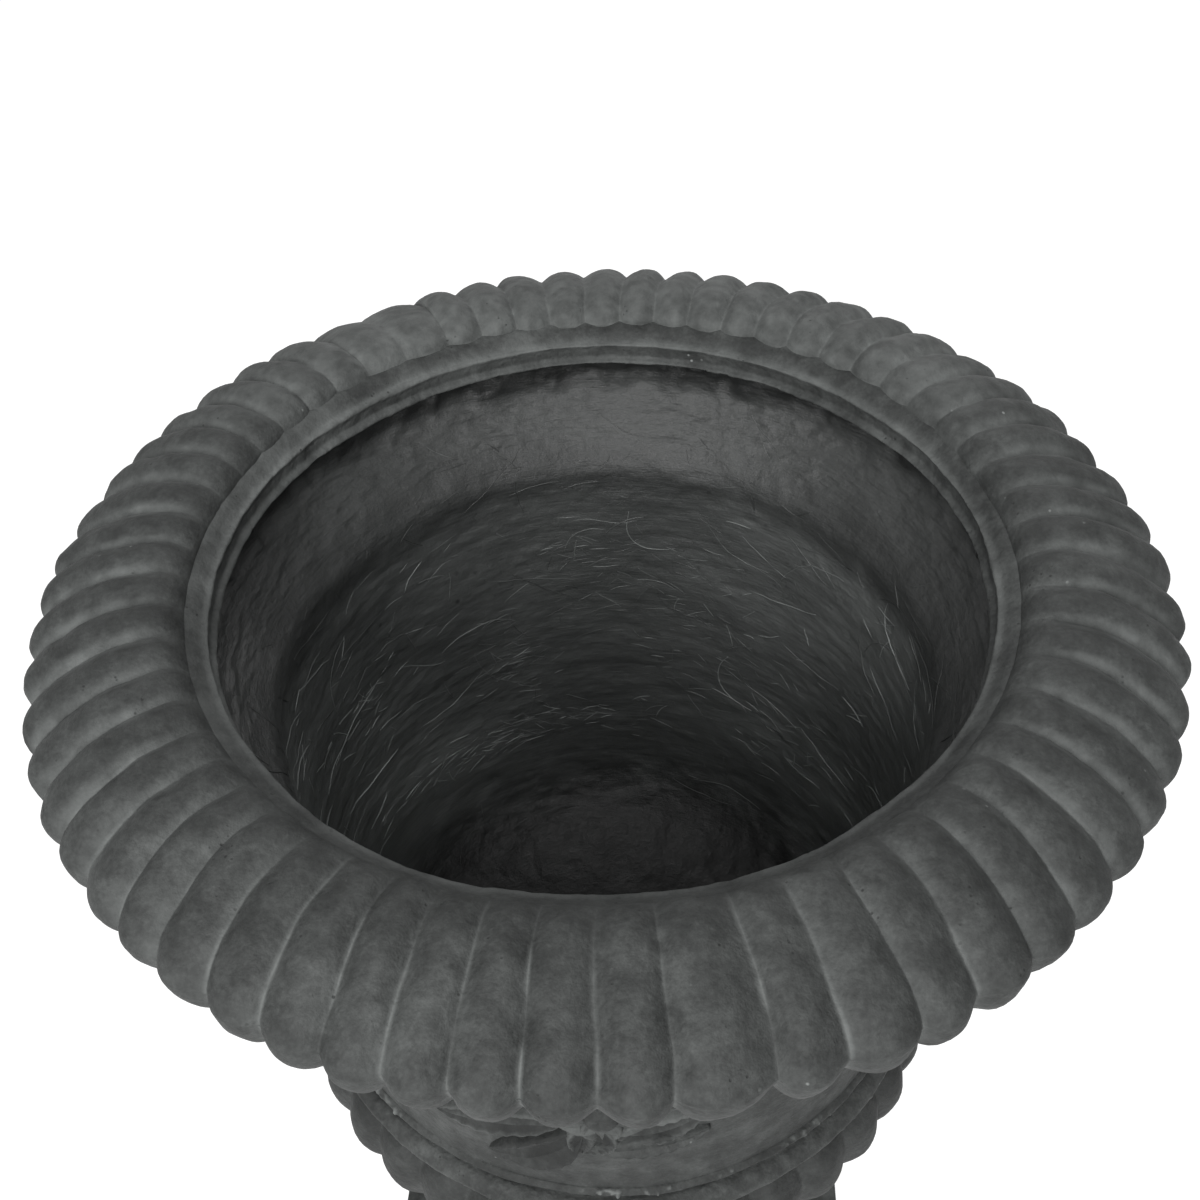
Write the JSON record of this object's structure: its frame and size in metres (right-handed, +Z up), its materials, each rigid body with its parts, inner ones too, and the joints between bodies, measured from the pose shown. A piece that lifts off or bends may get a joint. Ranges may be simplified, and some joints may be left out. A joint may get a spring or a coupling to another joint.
{
  "type": "urn planter",
  "caption": "Classical urn planter: gadrooned overturned rim, round frieze with leaf sprays, lobed cup, waisted stem on a square plinth, and a drain sleeve with a lift-out plug.",
  "frame": {"origin": "on the floor, under the middle of the plinth", "axes": "+Z up along the urn's axis, the plinth's sides along X and Y, the front leaf spray towards -Y"},
  "size_m": [0.5334, 0.5334, 0.6216],
  "materials": {
    "cast_shell": "matt fibre-reinforced lightweight concrete, through-coloured charcoal, slightly dusty in the seams",
    "lining_laminate": "satin charcoal resin over hand-laid glass fibre, wrinkled and brushed",
    "sleeve_plastic": "moulded dark grey plastic",
    "gasket_rubber": "soft black rubber",
    "washer_steel": "zinc-plated steel",
    "plug_rubber": "matt black rubber"
  },
  "bodies": {
    "urn": {"plinth": "cast_shell", "foot_ring": "cast_shell", "stem": "cast_shell", "stem_bead": "cast_shell", "gadroon_cup": "cast_shell", "bowl_floor": "cast_shell", "bead_moulding": "cast_shell", "fillet_moulding": "cast_shell", "frieze_wall": "cast_shell", "cove_ring": "cast_shell", "bowl_lining": "lining_laminate", "mouth_lip": "cast_shell", "rim": "cast_shell", "spray_front": "cast_shell", "spray_right": "cast_shell", "spray_back": "cast_shell", "spray_left": "cast_shell", "drain_sleeve": "sleeve_plastic", "sleeve_gasket": "gasket_rubber", "clamp_washer": "washer_steel", "lock_nut": "sleeve_plastic"},
    "plug": {"drain_plug": "plug_rubber"}
  },
  "joints": [
    {"name": "plug_lift", "type": "slide", "parent": "urn", "child": "plug", "axis": [0, 0, 1], "range_m": [0, 0.02]}
  ]
}
